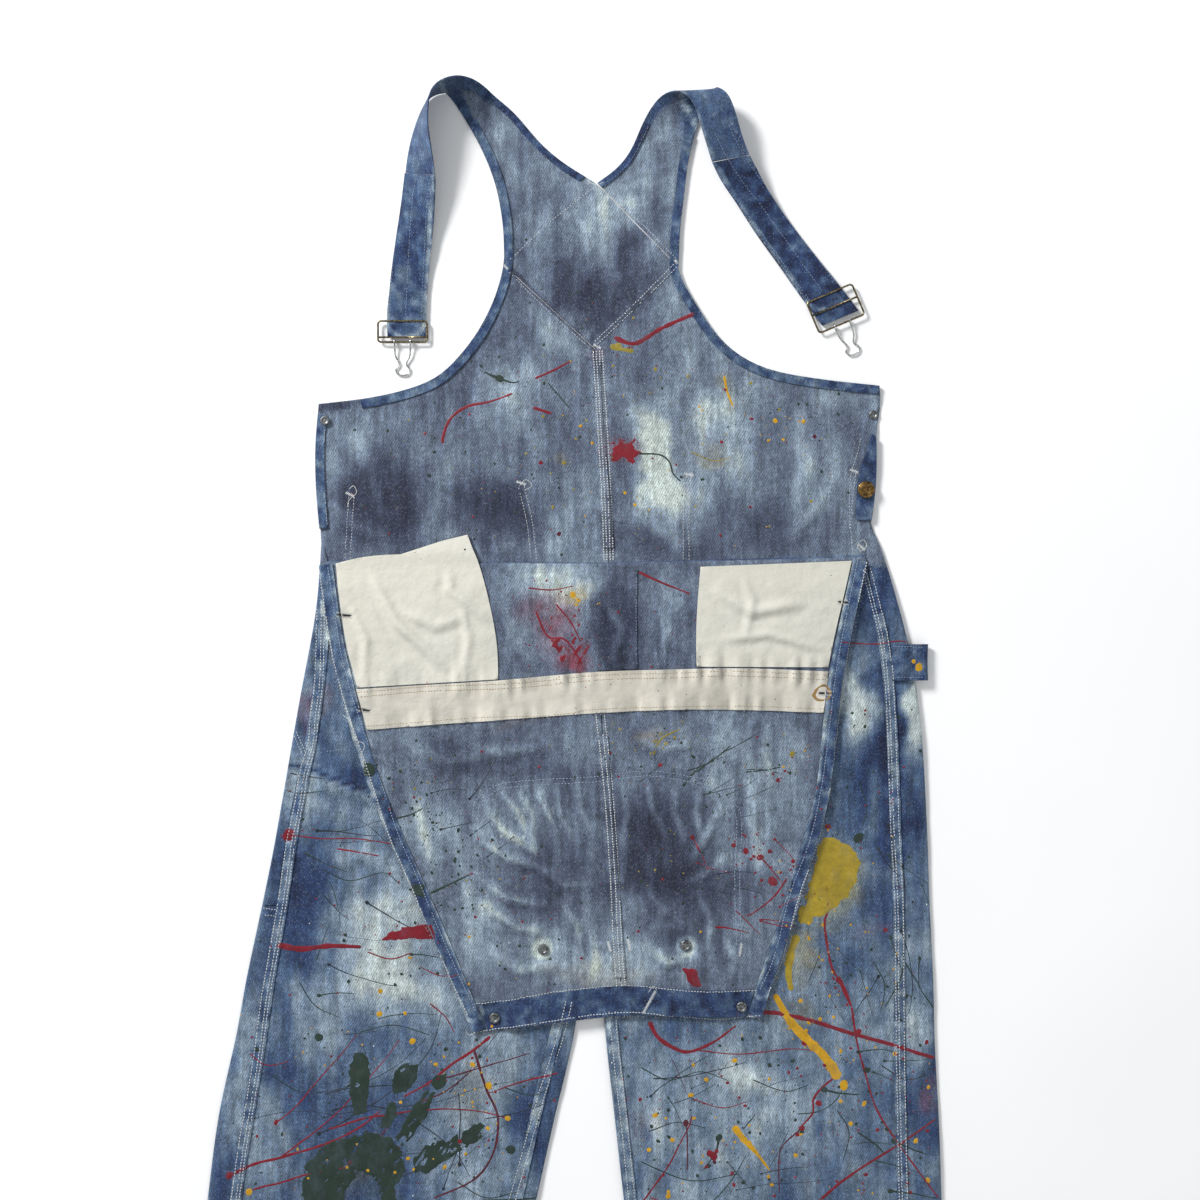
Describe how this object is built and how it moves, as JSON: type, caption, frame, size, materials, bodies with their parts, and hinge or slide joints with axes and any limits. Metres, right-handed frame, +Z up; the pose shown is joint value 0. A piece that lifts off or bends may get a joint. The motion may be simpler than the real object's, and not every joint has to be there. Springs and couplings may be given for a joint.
{
  "type": "bib overalls",
  "caption": "Worn denim bib overalls spattered with paint, lying flat on their back with the bib folded down inside out over the hips.",
  "frame": {"origin": "centre of the bounding box at its underside, where the cloth rests on the surface", "axes": "+X towards the side that is on the right in the picture, +Y from the hems to the shoulders, +Z up from the surface, out of the picture"},
  "size_m": [0.7762, 1.5464, 0.0385],
  "materials": {
    "outer_denim": "faded twill",
    "inner_denim": "faded twill, inside out",
    "dark_denim": "dark twill",
    "strap_denim": "dark twill",
    "pocket_cotton": "matt",
    "waist_cotton": "matt",
    "brass": "tarnished",
    "steel": "dull",
    "wire": "tarnished"
  },
  "bodies": {
    "garment": {"back_pocket_left": "outer_denim", "back_pocket_right": "outer_denim", "back_left": "outer_denim", "back_right": "outer_denim", "shoulder_left": "strap_denim", "strap_left": "strap_denim", "shoulder_right": "strap_denim", "strap_right": "strap_denim", "armhole_binding_left": "dark_denim", "neck_binding_left": "dark_denim", "armhole_binding_right": "dark_denim", "neck_binding_right": "dark_denim", "side_hem_left": "dark_denim", "button_stand_right": "dark_denim", "back_centre_seam": "inner_denim", "front_left": "outer_denim", "front_right": "outer_denim", "side_seam_left": "outer_denim", "inseam_left": "outer_denim", "side_seam_right": "outer_denim", "inseam_right": "outer_denim", "bib_left": "inner_denim", "bib_pocket_left": "inner_denim", "bib_right": "inner_denim", "bib_pocket_right": "inner_denim", "front_hem_left": "inner_denim", "front_hem_right": "inner_denim", "bib_centre_seam": "inner_denim", "bib_hem": "inner_denim", "waistband_facing": "waist_cotton", "fly_facing": "inner_denim", "pocket_bag_left": "pocket_cotton", "pocket_bag_right": "pocket_cotton", "rule_pocket": "outer_denim", "hammer_loop": "outer_denim", "bib_button_left": "brass", "bib_rivet_left": "steel", "bib_button_right": "brass", "bib_rivet_right": "steel", "side_rivet_left": "steel", "side_rivet_right": "steel", "side_button_right": "brass", "buckle_left": "brass", "buckle_right": "brass"},
    "hook_left": {"hook_left": "wire"},
    "hook_right": {"hook_right": "wire"}
  },
  "joints": [
    {"name": "hook_left_swing", "type": "hinge", "parent": "garment", "child": "hook_left", "pos_m": [-0.148, 0.5153, 0.0041], "axis": [-1, 0, 0], "range_deg": [0, 140]},
    {"name": "hook_right_swing", "type": "hinge", "parent": "garment", "child": "hook_right", "pos_m": [0.2905, 0.5336, 0.0041], "axis": [-0.9205, -0.3907, 0], "range_deg": [0, 140]}
  ]
}
